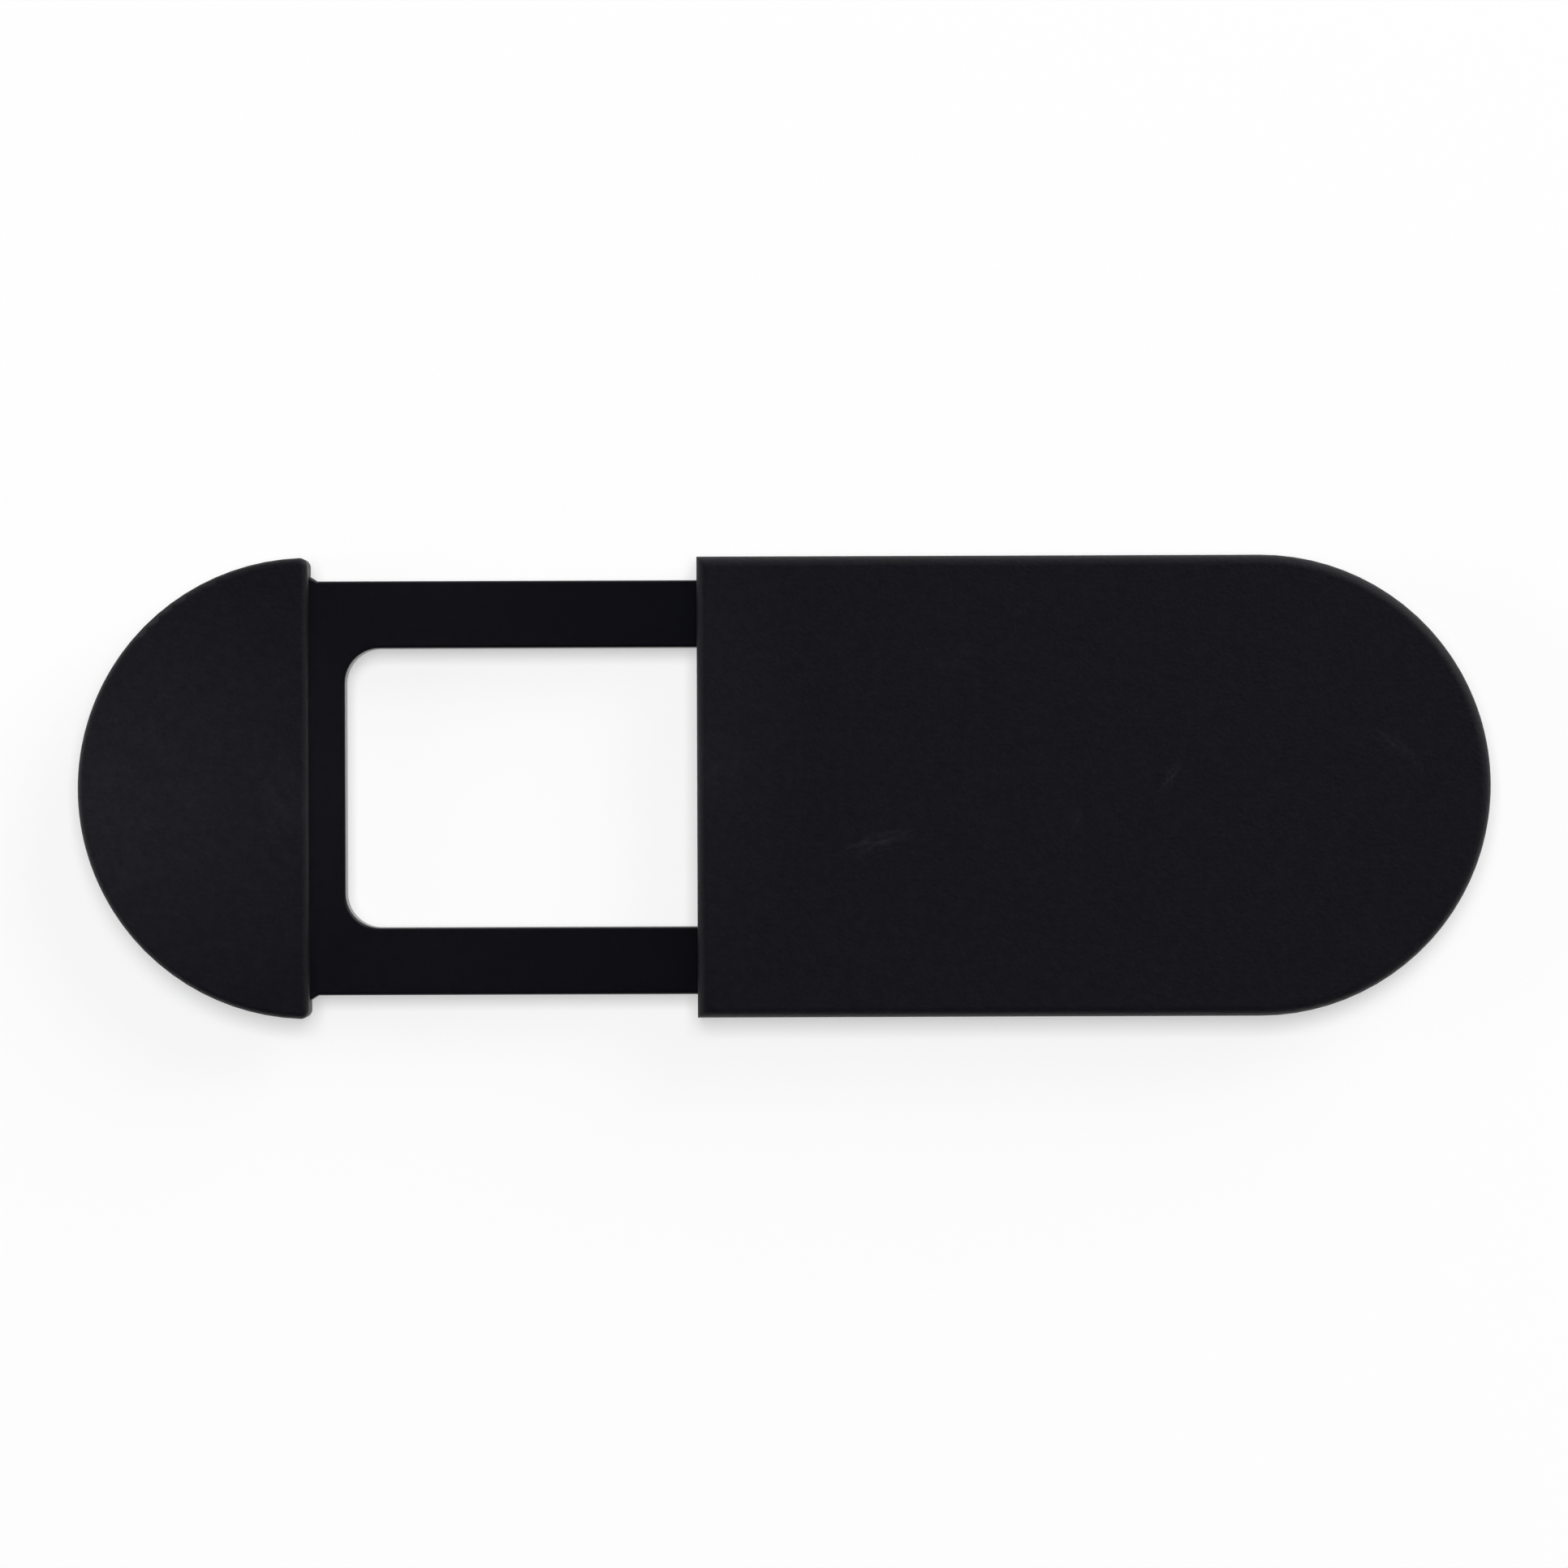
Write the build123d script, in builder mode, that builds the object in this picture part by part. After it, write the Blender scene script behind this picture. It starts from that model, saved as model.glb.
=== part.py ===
from build123d import *
import os

os.makedirs("parts", exist_ok=True)

# Webcam cover slider, open, lying on its adhesive back, in millimetres.
# The origin is the middle of the lens window, on the plane that the adhesive sticks to.
# X is the way the cover opens, and Z comes out of the front.

# Outline from the front
cover_width = 14.0  # across the slider, and the diameter of both round ends
slider_straight = 17.1  # from the slider's mouth to the start of its round end
travel = 11.75  # of the slider, from open to closed
closing_gap = 0.05  # left between the slider's mouth and the end cap when closed
window_length = 12.0
window_width = 8.5
window_corner = 1.05
window_post = 1.1  # between the end cap and the window

# Walls and heights
tape_thickness = 0.25
tape_recess = 0.1  # how deep the tape sits in the back of the base
lip_clearance = 0.35  # from the sticking plane up to the slider's lips
lip_thickness = 0.5
flange_thickness = 0.7
roof_thickness = 0.75
slider_wall = 0.6
lip_overhang = 1.15  # how far the lips reach in from the slider's walls

# Play between the two mouldings
running_gap = 0.1  # round the rail, on every side
lip_gap = 0.15  # between the lips and the foot
end_room = 0.05  # more room past the rail's round end when closed

# Edges
front_round = 0.3  # the slider's front edges
cap_round = 0.2  # the end cap's front edges
cap_corner = 0.25  # the end cap's two corners, seen from the front
back_break = 0.15  # bevel of the back edges
rail_round = 0.1  # the rail's and the window's front edges
lead_in = 0.2  # bevel inside the slider's mouth
gusset_length = 0.27  # small gusset where the rail's edge meets the end cap
gusset_width = 0.17

# Open stop: nibs on the lips run in rebates under the rail until they meet a shoulder
nib_height = 0.25
nib_width = 0.5
nib_length = 0.8
nib_flat = 0.3  # the part of the nib at full height, behind its ramp
nib_setback = 0.3  # from the slider's mouth
stop_gap = 0.05  # left at the shoulder when open

# Adhesive tape
tape_margin = 0.8  # from the tape to the edge of the back
tape_face_inset = 0.5  # from the cap-end tape to the end cap's straight face
tape_window_gap = 0.9  # from the rail-end tape to the window
tape_corner = 0.5
tape_play = 0.1  # round the tape in its recess

near = 0.01  # room for rounding when a face or an edge is chosen by its place

# Places along X
cap_face = -window_length / 2 - window_post
mouth = cap_face + closing_gap + travel
slider_end = mouth + slider_straight
rail_end = slider_end - travel - end_room
nib_start = mouth + nib_setback
nib_end = nib_start + nib_length
shoulder = nib_end + stop_gap

# Half widths across Y
outer_half = cover_width / 2
cavity_half = outer_half - slider_wall
rail_half = cavity_half - running_gap
slot_half = cavity_half - lip_overhang
foot_half = slot_half - lip_gap
rebate_inner = cavity_half - nib_width - running_gap

# Levels along Z
back = tape_thickness - tape_recess
lip_top = lip_clearance + lip_thickness
flange_bottom = lip_top + running_gap
flange_top = flange_bottom + flange_thickness
ceiling = flange_top + running_gap
front = ceiling + roof_thickness


def tongue(level, start, end_centre, half_width):
    """A flat outline, square at its start and half round about its end centre."""
    with BuildSketch(Plane.XY.offset(level)) as outline:
        with BuildLine():
            round_end = CenterArc((end_centre, 0), half_width, -90, 180)
            Polyline(round_end @ 1, (start, half_width), (start, -half_width), round_end @ 0)
        make_face()
    return outline.sketch


def half_disc(level, radius, inset, corner):
    """A flat half disc about the end cap's face, its straight side set in from that face."""
    with BuildSketch(Plane.XY.offset(level)) as outline:
        with Locations((cap_face, 0)):
            Circle(radius)
        with Locations((cap_face - inset, 0)):
            Rectangle(2 * radius, 2 * radius, align=(Align.MIN, Align.CENTER), mode=Mode.SUBTRACT)
        fillet(outline.vertices(), corner)
    return outline.sketch


def cap_end_tape(level, play):
    """The tape behind the end cap, or with some play its recess."""
    return half_disc(level, outer_half - tape_margin + play, tape_face_inset - play, tape_corner)


def rail_end_tape(level, play):
    """The tape behind the far end of the rail, or with some play its recess."""
    start = window_length / 2 + tape_window_gap - play
    with BuildSketch(Plane.XY.offset(level)) as outline:
        add(tongue(level, start, rail_end, foot_half - tape_margin + play))
        fillet(outline.vertices().group_by(Axis.X)[0], tape_corner)
    return outline.sketch


# Base: the end cap, the rail with the lens window, and the narrower foot that carries the tape
with BuildPart() as base_track:
    extrude(half_disc(back, outer_half, 0, cap_corner), amount=front - back)
    fillet(base_track.faces().sort_by(Axis.Z)[-1].edges(), cap_round)

    extrude(tongue(flange_bottom, cap_face, rail_end, rail_half), amount=flange_thickness)
    with BuildSketch(Plane.XY.offset(flange_bottom)) as gussets:
        with BuildLine():
            Polyline(
                (cap_face, rail_half),
                (cap_face + gusset_length, rail_half),
                (cap_face, rail_half + gusset_width),
                close=True,
            )
        make_face()
        mirror(about=Plane.XZ)
    extrude(amount=flange_thickness)
    extrude(tongue(back, cap_face, rail_end, foot_half), amount=flange_bottom - back)

    with BuildSketch(Plane.XY.offset(back)) as lens_window:
        RectangleRounded(window_length, window_width, window_corner)
    extrude(amount=flange_top - back, mode=Mode.SUBTRACT)
    rail_face = base_track.faces().filter_by_position(Axis.Z, flange_top - near, flange_top + near)
    fillet(rail_face.edges().filter_by_position(Axis.X, cap_face + near, slider_end), rail_round)

    # Rebates for the nibs, open at the end cap and closed by a shoulder
    with BuildSketch(Plane.XY.offset(flange_bottom)) as rebates:
        with Locations((cap_face, rebate_inner)):
            Rectangle(shoulder - cap_face, outer_half - rebate_inner, align=(Align.MIN, Align.MIN))
        mirror(about=Plane.XZ)
    extrude(amount=nib_height, mode=Mode.SUBTRACT)

    chamfer(base_track.faces().sort_by(Axis.Z)[0].outer_wire().edges(), back_break)
    extrude(cap_end_tape(back, tape_play), amount=tape_recess, mode=Mode.SUBTRACT)
    extrude(rail_end_tape(back, tape_play), amount=tape_recess, mode=Mode.SUBTRACT)

# Slider: a shallow cover whose lips reach under the rail from both sides and round its far end
with BuildPart() as slider_cover:
    extrude(tongue(lip_clearance, mouth, slider_end, outer_half), amount=front - lip_clearance)
    fillet(slider_cover.faces().sort_by(Axis.Z)[-1].edges(), front_round)
    back_edges = slider_cover.faces().sort_by(Axis.Z)[0].edges()
    chamfer(back_edges.sort_by(Axis.X)[1:], back_break)

    extrude(tongue(lip_top, mouth, slider_end, cavity_half), amount=ceiling - lip_top, mode=Mode.SUBTRACT)
    extrude(tongue(lip_clearance, mouth, slider_end, slot_half), amount=lip_thickness, mode=Mode.SUBTRACT)
    mouth_edges = slider_cover.faces().sort_by(Axis.X)[0].edges()
    track_edges = mouth_edges.filter_by_position(Axis.Z, lip_top - near, ceiling + near)
    chamfer(track_edges.filter_by_position(Axis.Y, -cavity_half - near, cavity_half + near), lead_in)

    # Nibs, with the ramp towards the mouth and the square stop face behind it
    with BuildSketch(Plane.XZ.offset(-cavity_half)) as nib_side:
        with BuildLine():
            Polyline(
                (nib_start, lip_top),
                (nib_end, lip_top),
                (nib_end, lip_top + nib_height),
                (nib_end - nib_flat, lip_top + nib_height),
                close=True,
            )
        make_face()
    nib = extrude(amount=nib_width)
    mirror(nib, about=Plane.XZ)

# Double-sided foam tape, die cut
with BuildPart() as adhesive_tape_cap_end:
    extrude(cap_end_tape(0, 0), amount=tape_thickness)

with BuildPart() as adhesive_tape_rail_end:
    extrude(rail_end_tape(0, 0), amount=tape_thickness)

base_track.part.label = "base_track"
export_step(base_track.part, "parts/base_track.step")

slider_cover.part.label = "slider_cover"
export_step(slider_cover.part, "parts/slider_cover.step")

adhesive_tape_cap_end.part.label = "adhesive_tape_cap_end"
export_step(adhesive_tape_cap_end.part, "parts/adhesive_tape_cap_end.step")

adhesive_tape_rail_end.part.label = "adhesive_tape_rail_end"
export_step(adhesive_tape_rail_end.part, "parts/adhesive_tape_rail_end.step")
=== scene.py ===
import math
from collections import namedtuple

import bmesh
import bpy
from bpy.props import FloatProperty, FloatVectorProperty, PointerProperty
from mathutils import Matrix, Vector


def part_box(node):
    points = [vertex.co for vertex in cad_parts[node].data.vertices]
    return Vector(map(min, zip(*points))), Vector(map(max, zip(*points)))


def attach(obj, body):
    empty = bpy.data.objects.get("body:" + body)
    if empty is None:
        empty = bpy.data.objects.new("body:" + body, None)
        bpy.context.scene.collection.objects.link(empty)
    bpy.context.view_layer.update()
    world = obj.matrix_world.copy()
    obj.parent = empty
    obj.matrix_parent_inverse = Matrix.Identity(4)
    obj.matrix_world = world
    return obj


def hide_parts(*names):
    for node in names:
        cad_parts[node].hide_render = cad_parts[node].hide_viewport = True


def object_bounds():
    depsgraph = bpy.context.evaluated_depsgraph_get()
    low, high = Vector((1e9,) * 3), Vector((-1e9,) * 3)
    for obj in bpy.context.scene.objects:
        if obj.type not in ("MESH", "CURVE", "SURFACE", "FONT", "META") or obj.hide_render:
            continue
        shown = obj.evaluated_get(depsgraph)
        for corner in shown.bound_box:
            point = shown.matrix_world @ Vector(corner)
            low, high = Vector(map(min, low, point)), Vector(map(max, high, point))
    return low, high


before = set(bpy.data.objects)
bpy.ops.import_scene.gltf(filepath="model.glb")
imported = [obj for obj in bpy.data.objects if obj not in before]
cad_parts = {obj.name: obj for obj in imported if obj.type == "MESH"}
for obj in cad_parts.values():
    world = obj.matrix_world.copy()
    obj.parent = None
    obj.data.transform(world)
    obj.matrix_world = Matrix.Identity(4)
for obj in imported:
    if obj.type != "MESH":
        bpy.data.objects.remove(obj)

bl_info = {
    "name": "Webcam Cover Slider",
    "version": (1, 0, 0),
    "blender": (4, 5, 0),
    "location": "View3D > Sidebar > Webcam Cover",
    "description": "Finishes a black sliding webcam cover and sets it on a white studio floor",
    "category": "Object",
}

MM = 0.001

# Places that the frame gives
CAD_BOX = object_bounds()
BASE_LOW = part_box("base_track")[0]
SLIDER_LOW, SLIDER_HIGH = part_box("slider_cover")
FRONT = SLIDER_HIGH.z
MOUTH = SLIDER_LOW.x  # of the slider when it is open
CAP_FACE = BASE_LOW.x + SLIDER_HIGH.y  # the end cap is a half disc, as wide as the slider
FACE_BLEND = 0.014 * MM  # over which the end cap's finish gives way to the rail's

# Refractive indices
ABS_IOR = 1.53
ACRYLIC_IOR = 1.47

# Levels that a noise texture keeps between, nearly everywhere
NOISE_LOW = 0.3
NOISE_HIGH = 0.7

# A paler place on the front, a rub mark or a patch of painted light: its middle, length and width
# in millimetres, its turn in degrees, how pale its middle gets, and its gaps, the noise level up to
# which the plastic in it is left as it was moulded
RubAndPaintedLightMark = namedtuple("RubAndPaintedLightMark", "x y length width turn strength gaps")
EVEN = -2.0  # far below the noise, so there are no gaps
STREAKY = 0.4
STREAKS = 2.5  # in half the length and in half the width of a rub mark

# A square soft lamp: its size in metres, and its place in degrees, round from +X and up from level
Lamp = namedtuple("Lamp", "name size azimuth elevation")


def linear(hex_colour):
    """The linear red, green and blue of an sRGB hex colour."""
    channels = [int(hex_colour[i : i + 2], 16) / 255 for i in (1, 3, 5)]
    return [c / 12.92 if c <= 0.04045 else ((c + 0.055) / 1.055) ** 2.4 for c in channels]


class MouldedPlasticFinish(bpy.types.PropertyGroup):
    colour: FloatVectorProperty(
        name="Colour",
        description="Black of the moulded plastic",
        subtype="COLOR",
        default=linear("#101017"),
    )
    # Also the colour of the patches of painted light on the end cap and by the slider's mouth
    rub_and_painted_light_colour: FloatVectorProperty(
        name="Rubbed colour",
        description="Greyed black where the surface has been rubbed",
        subtype="COLOR",
        default=linear("#2D2D31"),
    )
    cloud: FloatProperty(
        name="Cloud",
        description="Width of one of the darker clouds that the flow of the plastic left",
        subtype="DISTANCE",
        unit="LENGTH",
        default=0.24 * MM,
    )
    cloud_shade: FloatProperty(
        name="Cloud shade",
        description="How light the clouds are beside the rest",
        subtype="FACTOR",
        default=0.5,
    )
    grain: FloatProperty(
        name="Grain",
        description="Width of one grain of the spark-eroded texture",
        subtype="DISTANCE",
        unit="LENGTH",
        default=0.11 * MM,
    )
    grain_depth: FloatProperty(
        name="Grain depth",
        description="Height from the valleys to the peaks of the texture",
        subtype="DISTANCE",
        unit="LENGTH",
        default=0.014 * MM,
    )
    roughness: FloatProperty(
        name="Roughness",
        description="Roughness of the spark-eroded surface",
        subtype="FACTOR",
        default=0.6,
    )
    # Partly the polished rail's deeper black, partly painted shade of the rail, which lies in a
    # recess
    rail_polish_and_painted_shade: FloatProperty(
        name="Rail shade",
        description="How light the polished rail is beside the rest",
        subtype="FACTOR",
        default=0.88,
    )
    # Painted shade: the rail is darkened most by the open slider's mouth
    mouth_painted_shade: FloatProperty(
        name="Burnished shade",
        description="How light the rail is beside the rest where the open slider rubs it most",
        subtype="FACTOR",
        default=0.62,
    )
    # Length of rail over which that painted shade deepens towards the slider's mouth
    painted_shade_length: FloatProperty(
        name="Burnish",
        description="Length of rail before the open slider over which the rubbing shows",
        subtype="DISTANCE",
        unit="LENGTH",
        default=7.5 * MM,
    )
    rail_grain: FloatProperty(
        name="Rail grain",
        description="How deep the grain of the polished rail is beside the rest",
        subtype="FACTOR",
        default=0.35,
    )
    rail_roughness: FloatProperty(
        name="Rail roughness",
        description="Roughness of the polished rail, which the slider runs on",
        subtype="FACTOR",
        default=0.3,
    )


class FoamTapeFinish(bpy.types.PropertyGroup):
    colour: FloatVectorProperty(
        name="Colour",
        description="White of the foam tape",
        subtype="COLOR",
        default=linear("#DDDAD1"),
    )
    shade_colour: FloatVectorProperty(
        name="Shade colour",
        description="Duller white where the foam is denser",
        subtype="COLOR",
        default=linear("#CFCBC0"),
    )
    patch: FloatProperty(
        name="Patch",
        description="Width of one denser patch of the foam",
        subtype="DISTANCE",
        unit="LENGTH",
        default=0.84 * MM,
    )
    cell: FloatProperty(
        name="Cell",
        description="Width of one cell of the foam",
        subtype="DISTANCE",
        unit="LENGTH",
        default=0.14 * MM,
    )
    cell_depth: FloatProperty(
        name="Cell depth",
        description="Depth of the cells at the surface",
        subtype="DISTANCE",
        unit="LENGTH",
        default=0.028 * MM,
    )
    roughness: FloatProperty(
        name="Roughness",
        description="Roughness of the foam",
        subtype="FACTOR",
        default=0.6,
    )
    film: FloatProperty(
        name="Film",
        description="How much of the foam the film of clear adhesive covers",
        subtype="FACTOR",
        default=0.5,
    )
    film_roughness: FloatProperty(
        name="Film roughness",
        description="Roughness of the film of adhesive",
        subtype="FACTOR",
        default=0.25,
    )
    corner: FloatProperty(
        name="Corner",
        description="Radius of the tape's corners, seen from the front",
        subtype="DISTANCE",
        unit="LENGTH",
        default=0.5 * MM,
    )
    rim: FloatProperty(
        name="Rim",
        description="Radius of the tape's rims, pressed soft by the cutting die",
        subtype="DISTANCE",
        unit="LENGTH",
        default=0.06 * MM,
    )


class StudioSettings(bpy.types.PropertyGroup):
    floor_colour: FloatVectorProperty(
        name="Floor",
        description="White of the paper floor",
        subtype="COLOR",
        default=linear("#FBFBFB"),
    )
    floor_lift: FloatProperty(
        name="Floor lift",
        description="Share of plain white in the floor, which keeps the shadow light",
        subtype="FACTOR",
        default=0.45,
    )
    view_centre: FloatVectorProperty(
        name="View centre",
        description="Point of the front that the picture is centred on",
        size=2,
        subtype="XYZ",
        unit="LENGTH",
        default=(7.34 * MM, 0.086 * MM),
    )
    view_width: FloatProperty(
        name="View width",
        description="Width of the front's plane that the picture shows",
        subtype="DISTANCE",
        unit="LENGTH",
        default=47.56 * MM,
    )
    view_height: FloatProperty(
        name="Camera height",
        description="Height of the camera over the front",
        subtype="DISTANCE",
        unit="LENGTH",
        default=290 * MM,
    )
    view_roll: FloatProperty(
        name="Camera roll",
        description="Turn of the camera about its line of sight",
        subtype="ANGLE",
        unit="ROTATION",
        default=math.radians(-0.2),
    )
    overhead_power: FloatProperty(
        name="Overhead light",
        description="Power of the polarised soft lamp overhead, which adds no gloss",
        subtype="POWER",
        unit="POWER",
        default=8.7,
    )
    key_power: FloatProperty(
        name="Key light",
        description="Power of the low soft lamp at the upper right, which draws the edges",
        subtype="POWER",
        unit="POWER",
        default=2.8,
    )
    fill_power: FloatProperty(
        name="Fill light",
        description="Power of the low soft lamp at the left",
        subtype="POWER",
        unit="POWER",
        default=0.9,
    )


class WebcamCoverSettings(bpy.types.PropertyGroup):
    plastic: PointerProperty(type=MouldedPlasticFinish)
    tape: PointerProperty(type=FoamTapeFinish)
    studio: PointerProperty(type=StudioSettings)


def add_node(tree, kind, inputs, output=None, **settings):
    """Adds a node with its settings and links; returns its named output or its first one in use."""
    node = tree.nodes.new(kind)
    for name, value in settings.items():
        setattr(node, name, value)
    for key, value in inputs.items():
        socket = next(s for s in node.inputs if key in (s.identifier, s.name))
        if isinstance(value, bpy.types.NodeSocket):
            tree.links.new(value, socket)
        else:
            socket.default_value = value
    return next((s for s in node.outputs if s.enabled and output in (None, s.name)), None)


def new_material(name):
    """A material with only its Object coordinates; returns it, its tree and those coordinates."""
    material = bpy.data.materials.new(name)
    material.use_nodes = True
    tree = material.node_tree
    tree.nodes.clear()
    return material, tree, add_node(tree, "ShaderNodeTexCoord", {}, output="Object")


def opaque(colour):
    """A colour with full alpha."""
    return (*colour, 1.0)


def moulded_abs(name, finish, rub_and_painted_light_marks, rail_from=None):
    """Black ABS moulded against a spark-eroded cavity: a dull, even black with a fine grain, faint
    darker clouds from the flow of the plastic, paler places where it has been rubbed, and paler
    patches of painted light.
    From rail_from along X the cavity was polished, so the rail is sleeker; its colour is darkened
    there, partly for the polish and partly as painted shade of the recessed rail.
    Towards the open slider's mouth that painted shade darkens it still more."""
    material, tree, place = new_material(name)

    colour = opaque(finish.colour)
    # Rub marks, and patches of painted light, mixed in paler than the rest
    for mark in rub_and_painted_light_marks:
        spot = add_node(tree, "ShaderNodeMapping", {
            "Vector": place,
            "Location": (mark.x * MM, mark.y * MM, FRONT),
            "Rotation": (0.0, 0.0, math.radians(mark.turn)),
            "Scale": (mark.length / 2 * MM, mark.width / 2 * MM, mark.width / 2 * MM),
        }, vector_type="TEXTURE")
        fade = add_node(tree, "ShaderNodeTexGradient", {"Vector": spot}, gradient_type="SPHERICAL")
        limit = add_node(tree, "ShaderNodeMath", {
            "Value": fade, "Value_001": mark.strength,
        }, operation="MULTIPLY")
        streaks = add_node(tree, "ShaderNodeTexNoise", {
            "Vector": spot, "Scale": STREAKS, "Detail": 6.0,
        })
        rub_and_light_share = add_node(tree, "ShaderNodeMapRange", {
            "Value": streaks, "From Min": mark.gaps, "From Max": NOISE_HIGH, "To Max": limit,
        })
        colour = add_node(tree, "ShaderNodeMix", {
            "Factor_Float": rub_and_light_share,
            "A_Color": colour,
            "B_Color": opaque(finish.rub_and_painted_light_colour),
        }, data_type="RGBA")
    flow = add_node(tree, "ShaderNodeTexNoise", {
        "Vector": place, "Scale": 1 / finish.cloud, "Detail": 5.0, "Roughness": 0.8,
    })
    clouds = add_node(tree, "ShaderNodeMapRange", {
        "Value": flow, "From Min": NOISE_LOW, "From Max": NOISE_HIGH,
    })
    colour = add_node(tree, "ShaderNodeMix", {
        "Factor_Float": clouds,
        "A_Color": colour,
        "B_Color": opaque([finish.cloud_shade] * 3),
    }, data_type="RGBA", blend_type="MULTIPLY")

    # Real grains are about 0.04 mm wide; they are drawn larger so that a few pixels can show one.
    grain = add_node(tree, "ShaderNodeTexNoise", {
        "Vector": place, "Scale": 1 / finish.grain, "Detail": 2.0,
    })
    grain_strength = 1.0
    roughness = finish.roughness
    if rail_from is not None:
        along = add_node(tree, "ShaderNodeSeparateXYZ", {"Vector": place}, output="X")
        edge = {"Value": along, "From Min": rail_from, "From Max": rail_from + FACE_BLEND}
        # Painted shade: the rail is darkened all along its recess, partly also for its polish, and
        # more towards the open slider's mouth
        shade = add_node(tree, "ShaderNodeMapRange", {
            "Value": along,
            "From Min": MOUTH - finish.painted_shade_length,
            "From Max": MOUTH,
            "To Min": finish.rail_polish_and_painted_shade,
            "To Max": finish.mouth_painted_shade,
        })
        colour = add_node(tree, "ShaderNodeMix", {
            "Factor_Float": add_node(tree, "ShaderNodeMapRange", edge),
            "A_Color": colour,
            "B_Color": shade,
        }, data_type="RGBA", blend_type="MULTIPLY")
        grain_strength = add_node(tree, "ShaderNodeMapRange", {
            **edge, "To Min": grain_strength, "To Max": finish.rail_grain,
        })
        roughness = add_node(tree, "ShaderNodeMapRange", {
            **edge, "To Min": roughness, "To Max": finish.rail_roughness,
        })
    relief = add_node(tree, "ShaderNodeBump", {
        "Height": grain, "Distance": finish.grain_depth, "Strength": grain_strength,
    })
    surface = add_node(tree, "ShaderNodeBsdfPrincipled", {
        "Base Color": colour,
        "Roughness": roughness,
        "IOR": ABS_IOR,
        "Normal": relief,
    })
    add_node(tree, "ShaderNodeOutputMaterial", {"Surface": surface})
    return material


def foam_tape(name, finish):
    """White acrylic foam tape, die cut: a soft off-white, pitted by the cells of the foam, under a
    thin film of clear adhesive that gives it a wet shine."""
    material, tree, place = new_material(name)
    density = add_node(tree, "ShaderNodeTexNoise", {"Vector": place, "Scale": 1 / finish.patch})
    colour = add_node(tree, "ShaderNodeMix", {
        "Factor_Float": density,
        "A_Color": opaque(finish.colour),
        "B_Color": opaque(finish.shade_colour),
    }, data_type="RGBA")
    cells = add_node(tree, "ShaderNodeTexVoronoi", {"Vector": place, "Scale": 1 / finish.cell})
    relief = add_node(tree, "ShaderNodeBump", {"Height": cells, "Distance": finish.cell_depth})
    surface = add_node(tree, "ShaderNodeBsdfPrincipled", {
        "Base Color": colour,
        "Roughness": finish.roughness,
        "IOR": ACRYLIC_IOR,
        "Coat Weight": finish.film,
        "Coat Roughness": finish.film_roughness,
        "Normal": relief,
    })
    add_node(tree, "ShaderNodeOutputMaterial", {"Surface": surface})
    return material


def white_paper(name, studio):
    """White studio paper. The camera, gloss and glass see it partly as plain white, so the shadow
    of the object on it stays light."""
    material, tree, _ = new_material(name)
    paper = add_node(tree, "ShaderNodeBsdfDiffuse", {"Color": opaque(studio.floor_colour)})
    white = add_node(tree, "ShaderNodeEmission", {})
    camera = add_node(tree, "ShaderNodeLightPath", {}, output="Is Camera Ray")
    rays = camera.node.outputs
    gloss = add_node(tree, "ShaderNodeMath", {
        "Value": rays["Is Glossy Ray"], "Value_001": rays["Is Transmission Ray"],
    }, operation="MAXIMUM")
    seen = add_node(tree, "ShaderNodeMath", {
        "Value": camera, "Value_001": gloss,
    }, operation="MAXIMUM")
    share = add_node(tree, "ShaderNodeMath", {
        "Value": seen, "Value_001": studio.floor_lift,
    }, operation="MULTIPLY")
    lifted = add_node(tree, "ShaderNodeMixShader", {
        "Fac": share, "Shader": paper, "Shader_001": white,
    })
    add_node(tree, "ShaderNodeOutputMaterial", {"Surface": lifted})
    return material


def give_material(node, material):
    """Puts one material in every slot of a CAD node."""
    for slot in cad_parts[node].material_slots:
        slot.material = material


class WEBCAMCOVER_OT_finish_base(bpy.types.Operator):
    """Give the base its moulded plastic, polished along the rail, with painted shade along the rail
    and painted light on the end cap
    """

    bl_idname = "webcam_cover.finish_base"
    bl_label = "Finish Base"

    rub_and_painted_light_marks = (
        # Painted light: the end cap is painted paler, most towards its round end
        RubAndPaintedLightMark(-13.5, 0, 19, 15, 0, 0.4, EVEN),
        # Two smears, by its straight edge and near its rim
        RubAndPaintedLightMark(-7.9, -0.4, 2.4, 4.0, 0, 0.3, STREAKY),
        RubAndPaintedLightMark(-12.9, -2.4, 1.6, 2.6, 30, 0.15, STREAKY),
    )

    def execute(self, context):
        finish = context.scene.webcam_cover.plastic
        rail_from = CAP_FACE + FACE_BLEND  # clear of the end cap's straight face
        material = moulded_abs("ABS_spark_eroded_base", finish, self.rub_and_painted_light_marks, rail_from)
        give_material("base_track", material)
        return {"FINISHED"}


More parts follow.
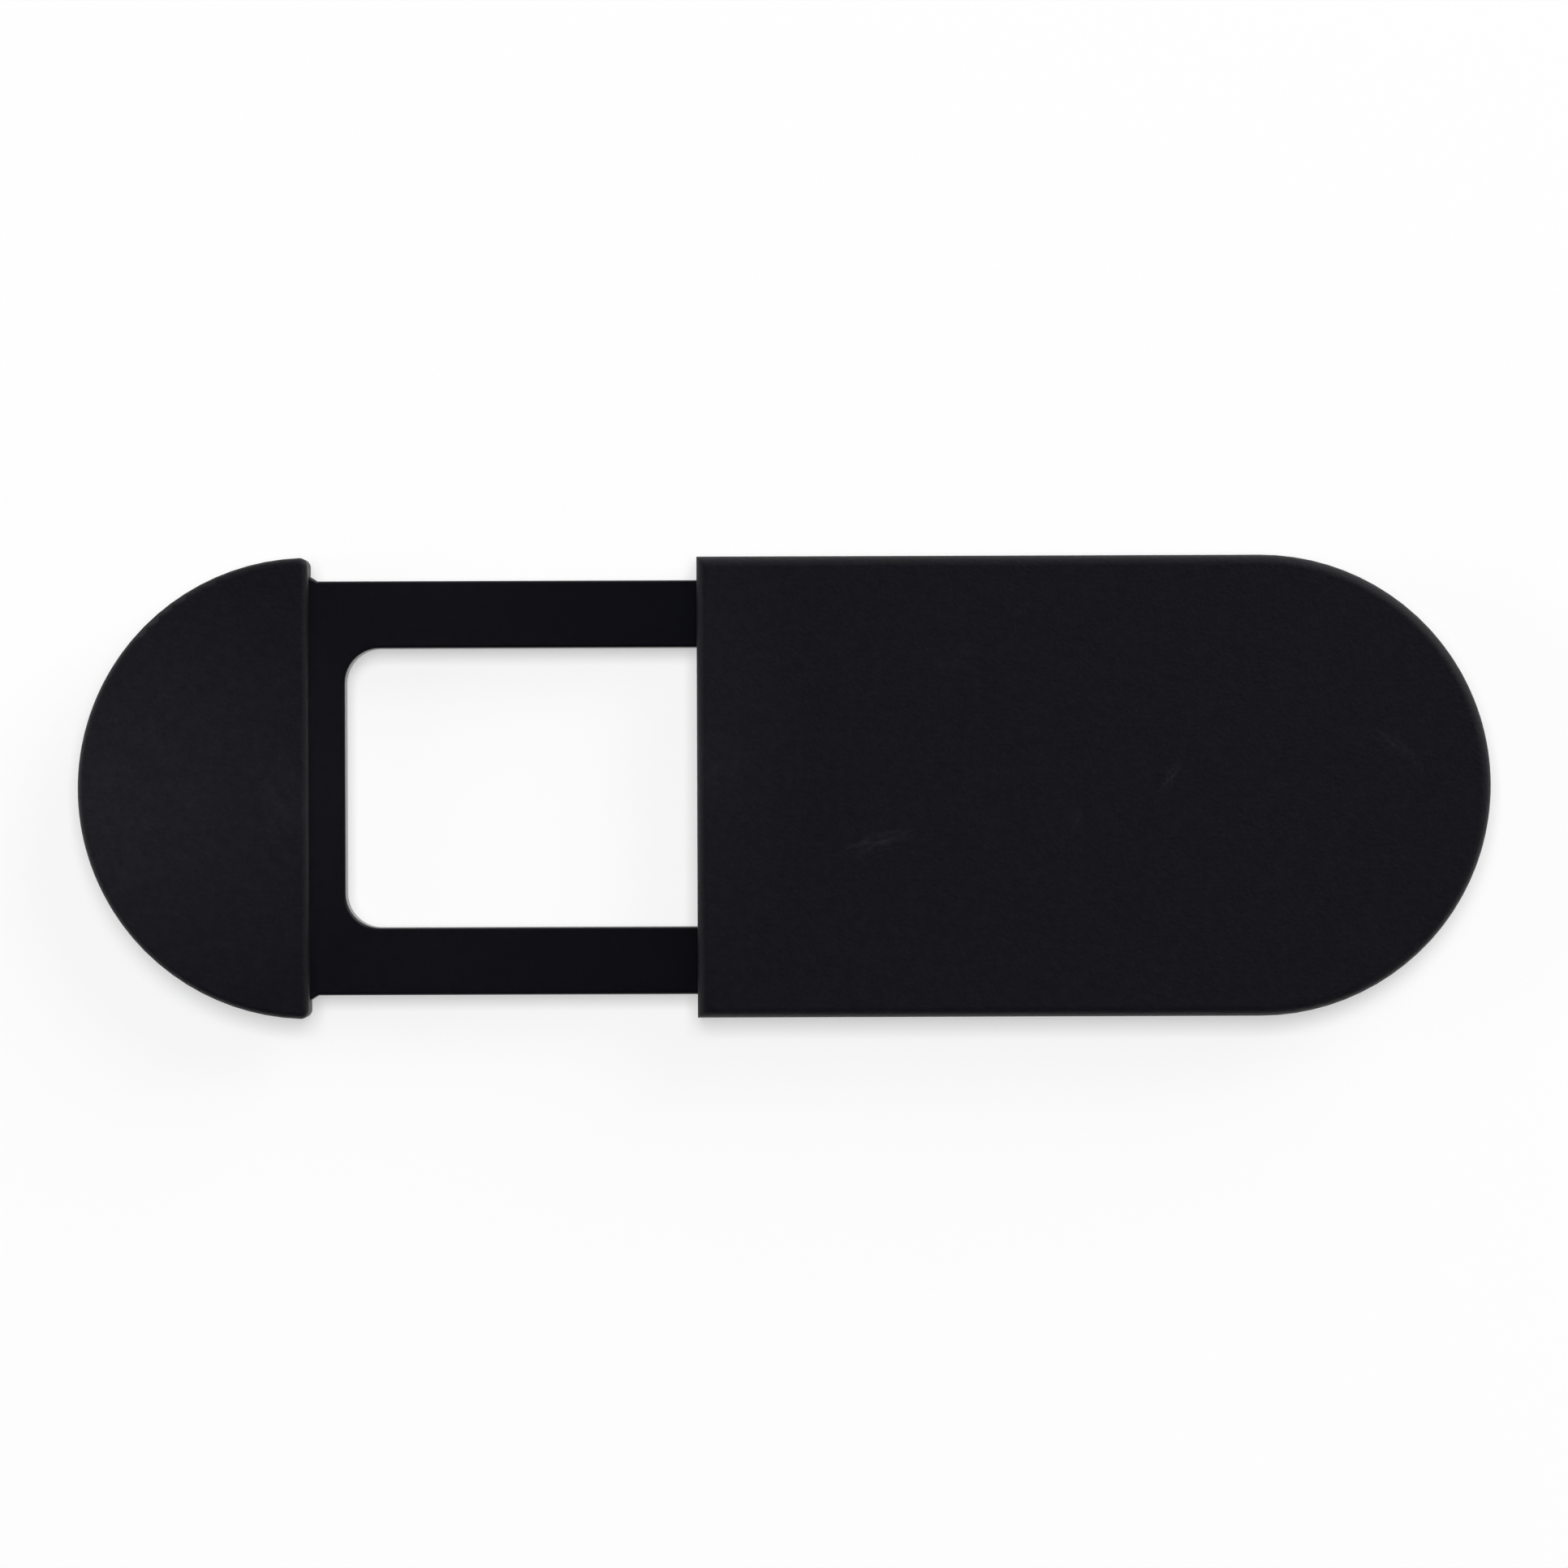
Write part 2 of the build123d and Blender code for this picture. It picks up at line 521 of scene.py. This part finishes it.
class WEBCAMCOVER_OT_finish_slider(bpy.types.Operator):
    """Give the slider its moulded plastic with its few rub marks, and painted light by its mouth"""

    bl_idname = "webcam_cover.finish_slider"
    bl_label = "Finish Slider"

    rub_and_painted_light_marks = (
        # Painted light: the front is painted paler towards the mouth, evenly and in streaks
        RubAndPaintedLightMark(4.7, 1.5, 7.0, 16.0, 0, 0.15, EVEN),
        RubAndPaintedLightMark(5.2, 0.8, 2.2, 3.4, 0, 0.2, STREAKY),
        # Scuffs
        RubAndPaintedLightMark(10.2, -1.65, 2.8, 0.8, 18, 0.8, STREAKY),
        RubAndPaintedLightMark(19.1, 0.3, 1.2, 0.5, 60, 0.8, STREAKY),
        RubAndPaintedLightMark(16.2, -1.05, 1.0, 0.5, 80, 0.4, STREAKY),
        RubAndPaintedLightMark(25.8, 1.3, 1.8, 0.6, -32, 0.5, STREAKY),
        RubAndPaintedLightMark(26.5, 0.7, 1.3, 0.5, -57, 0.28, STREAKY),
        RubAndPaintedLightMark(12.5, 3.8, 2.2, 1.4, 40, 0.14, STREAKY),
    )

    def execute(self, context):
        finish = context.scene.webcam_cover.plastic
        material = moulded_abs("ABS_spark_eroded_slider", finish, self.rub_and_painted_light_marks)
        give_material("slider_cover", material)
        return {"FINISHED"}


class WEBCAMCOVER_OT_cut_tapes(bpy.types.Operator):
    """Cut the two pieces of foam tape that hold the base"""

    bl_idname = "webcam_cover.cut_tapes"
    bl_label = "Cut Tapes"

    arc_step = math.radians(3)
    weld = 0.0006 * MM  # closes the outline, whose strokes end where the first began
    flat_rise = 0.5  # the least upward or downward share of a flat face's normal
    rim_segments = 4

    def execute(self, context):
        finish = context.scene.webcam_cover.tape
        material = foam_tape("acrylic_foam_tape_die_cut", finish)
        for node, outline in (
            ("adhesive_tape_cap_end", self.cap_end_outline),
            ("adhesive_tape_rail_end", self.rail_end_outline),
        ):
            low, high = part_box(node)
            bm = bmesh.new()
            outline(bm, low, high, finish.corner)
            self.thicken(bm, high.z - low.z, finish.rim)
            mesh = bpy.data.meshes.new(node + "_foam")
            bm.to_mesh(mesh)
            bm.free()
            mesh.materials.append(material)
            tape = bpy.data.objects.new(mesh.name, mesh)
            context.scene.collection.objects.link(tape)
            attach(tape, "base")
            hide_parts(node)
        return {"FINISHED"}

    def draw_line(self, bm, tip, step):
        """Draws a straight stroke from the tip and returns the new tip."""
        end = bmesh.ops.extrude_vert_indiv(bm, verts=[tip])["verts"]
        bmesh.ops.translate(bm, verts=end, vec=step)
        return end[0]

    def draw_arc(self, bm, tip, centre, angle):
        """Draws a round stroke from the tip about a centre and returns the new tip."""
        end = bmesh.ops.spin(
            bm, geom=[tip], cent=centre, axis=(0, 0, 1), angle=angle,
            steps=math.ceil(angle / self.arc_step),
        )
        return next(v for v in end["geom_last"] if isinstance(v, bmesh.types.BMVert))

    def cap_end_outline(self, bm, low, high, corner):
        """A half disc about the end cap's face, with round corners at its straight side."""
        disc = Vector((CAP_FACE, 0, low.z))
        radius = CAP_FACE - low.x
        corner_x = high.x - corner
        corner_y = math.sqrt((radius - corner) ** 2 - (CAP_FACE - corner_x) ** 2)
        lean = math.atan2(corner_y, CAP_FACE - corner_x)
        tip = bm.verts.new(disc + radius * Vector((-math.cos(lean), math.sin(lean), 0)))
        tip = self.draw_arc(bm, tip, disc, 2 * lean)
        tip = self.draw_arc(bm, tip, (corner_x, -corner_y, low.z), math.pi - lean)
        tip = self.draw_line(bm, tip, (0, 2 * corner_y, 0))
        self.draw_arc(bm, tip, (corner_x, corner_y, low.z), math.pi - lean)

    def rail_end_outline(self, bm, low, high, corner):
        """A tongue with a half-round end, and round corners at its straight side."""
        end_x = high.x - high.y
        corner_x = low.x + corner
        corner_y = high.y - corner
        tip = bm.verts.new((end_x, low.y, low.z))
        tip = self.draw_arc(bm, tip, (end_x, 0, low.z), math.pi)
        tip = self.draw_line(bm, tip, (corner_x - end_x, 0, 0))
        tip = self.draw_arc(bm, tip, (corner_x, corner_y, low.z), math.pi / 2)
        tip = self.draw_line(bm, tip, (0, -2 * corner_y, 0))
        tip = self.draw_arc(bm, tip, (corner_x, -corner_y, low.z), math.pi / 2)
        self.draw_line(bm, tip, (end_x - corner_x, 0, 0))

    def thicken(self, bm, thickness, rim):
        """Fills the outline, gives it its thickness, and rounds both rims."""
        bmesh.ops.remove_doubles(bm, verts=bm.verts, dist=self.weld)
        face = bmesh.ops.contextual_create(bm, geom=bm.edges)["faces"]
        raised = bmesh.ops.extrude_face_region(bm, geom=face, use_keep_orig=True)["geom"]
        top = [v for v in raised if isinstance(v, bmesh.types.BMVert)]
        bmesh.ops.translate(bm, verts=top, vec=(0, 0, thickness))
        bmesh.ops.recalc_face_normals(bm, faces=bm.faces)
        flat = [f for f in bm.faces if abs(f.normal.z) > self.flat_rise]
        for wall in set(bm.faces) - set(flat):
            wall.smooth = True
        rims = {edge for f in flat for edge in f.edges}
        rounded = bmesh.ops.bevel(
            bm, geom=list(rims), offset=rim, offset_type="OFFSET", affect="EDGES",
            segments=self.rim_segments, profile=0.5, material=-1,
        )
        for f in rounded["faces"]:
            f.smooth = True


class WEBCAMCOVER_OT_set_stage(bpy.types.Operator):
    """Lay the paper floor and set up the lamps and the camera"""

    bl_idname = "webcam_cover.set_stage"
    bl_label = "Set Stage"

    floor_size = 3.0
    lamp_distance = 1.0
    overhead_lamp = Lamp("overhead_lamp", 0.4, 90, 83)
    key_lamp = Lamp("key_lamp", 0.7, 44, 30)
    fill_lamp = Lamp("fill_lamp", 0.5, 180, 22)

    # The room is dark about one direction, and its glow rises with the angle from it. The angles
    # are given as cosines.
    dark_direction = Vector((0.0, -0.3, 0.954))
    dark_until = 0.3
    light_from = -0.2
    dark_glow = 0.02
    light_glow = 0.5

    def execute(self, context):
        scene = context.scene
        studio = scene.webcam_cover.studio
        scene.view_settings.view_transform = "Standard"
        self.lay_floor(scene, studio)
        self.light_world(scene)
        overhead = self.hang_lamp(scene, self.overhead_lamp, studio.overhead_power)
        overhead.visible_glossy = False
        self.hang_lamp(scene, self.key_lamp, studio.key_power)
        self.hang_lamp(scene, self.fill_lamp, studio.fill_power)
        self.place_camera(scene, studio)
        return {"FINISHED"}

    def lay_floor(self, scene, studio):
        """A large sheet of paper under the object."""
        mesh = bpy.data.meshes.new("floor")
        bm = bmesh.new()
        bmesh.ops.create_grid(bm, size=self.floor_size / 2)
        bmesh.ops.translate(bm, vec=(0, 0, CAD_BOX[0].z), verts=bm.verts)
        bm.to_mesh(mesh)
        bm.free()
        mesh.materials.append(white_paper("white_paper", studio))
        floor = bpy.data.objects.new("floor", mesh)
        scene.collection.objects.link(floor)

    def light_world(self, scene):
        """A white room that is dark overhead and, lower down, on the -Y side."""
        world = bpy.data.worlds.new("studio")
        world.use_nodes = True
        tree = world.node_tree
        tree.nodes.clear()
        direction = add_node(tree, "ShaderNodeTexCoord", {}, output="Generated")
        nearness = add_node(tree, "ShaderNodeVectorMath", {
            "Vector": direction, "Vector_001": self.dark_direction,
        }, output="Value", operation="DOT_PRODUCT")
        glow = add_node(tree, "ShaderNodeMapRange", {
            "Value": nearness,
            "From Min": self.dark_until,
            "From Max": self.light_from,
            "To Min": self.dark_glow,
            "To Max": self.light_glow,
        }, interpolation_type="SMOOTHSTEP")
        light = add_node(tree, "ShaderNodeBackground", {"Strength": glow})
        add_node(tree, "ShaderNodeOutputWorld", {"Surface": light})
        scene.world = world

    def hang_lamp(self, scene, lamp, power):
        """Hangs a lamp so that it points at the origin, and returns its object."""
        light = bpy.data.lights.new(lamp.name, "AREA")
        light.energy = power
        light.shape = "SQUARE"
        light.size = lamp.size
        turn = math.radians(lamp.azimuth)
        rise = math.radians(lamp.elevation)
        outward = Vector((
            math.cos(turn) * math.cos(rise), math.sin(turn) * math.cos(rise), math.sin(rise),
        ))
        hung = bpy.data.objects.new(lamp.name, light)
        hung.location = outward * self.lamp_distance
        hung.rotation_euler = outward.to_track_quat("Z", "Y").to_euler()
        hung.visible_camera = False
        scene.collection.objects.link(hung)
        return hung

    def place_camera(self, scene, studio):
        """A long lens straight over the front."""
        data = bpy.data.cameras.new("camera")
        data.lens = data.sensor_width * studio.view_height / studio.view_width
        camera = bpy.data.objects.new("camera", data)
        camera.location = (*studio.view_centre, FRONT + studio.view_height)
        camera.rotation_euler.z = studio.view_roll
        scene.collection.objects.link(camera)
        scene.camera = camera


class VIEW3D_PT_webcam_cover(bpy.types.Panel):
    """Settings and steps of the webcam cover"""

    bl_label = "Webcam Cover"
    bl_space_type = "VIEW_3D"
    bl_region_type = "UI"
    bl_category = "Webcam Cover"

    def draw(self, context):
        settings = context.scene.webcam_cover
        for group in (settings.plastic, settings.tape, settings.studio):
            box = self.layout.box()
            for name in group.__annotations__:
                box.prop(group, name)
        for step in STEPS:
            self.layout.operator(step.bl_idname)


STEPS = (
    WEBCAMCOVER_OT_finish_base,
    WEBCAMCOVER_OT_finish_slider,
    WEBCAMCOVER_OT_cut_tapes,
    WEBCAMCOVER_OT_set_stage,
)
CLASSES = (
    MouldedPlasticFinish,
    FoamTapeFinish,
    StudioSettings,
    WebcamCoverSettings,
    *STEPS,
    VIEW3D_PT_webcam_cover,
)


def register():
    for cls in CLASSES:
        bpy.utils.register_class(cls)
    bpy.types.Scene.webcam_cover = PointerProperty(type=WebcamCoverSettings)


def unregister():
    del bpy.types.Scene.webcam_cover
    for cls in reversed(CLASSES):
        bpy.utils.unregister_class(cls)


def main():
    register()
    bpy.ops.webcam_cover.finish_base()
    bpy.ops.webcam_cover.finish_slider()
    bpy.ops.webcam_cover.cut_tapes()
    bpy.ops.webcam_cover.set_stage()


if __name__ == "__main__":
    main()
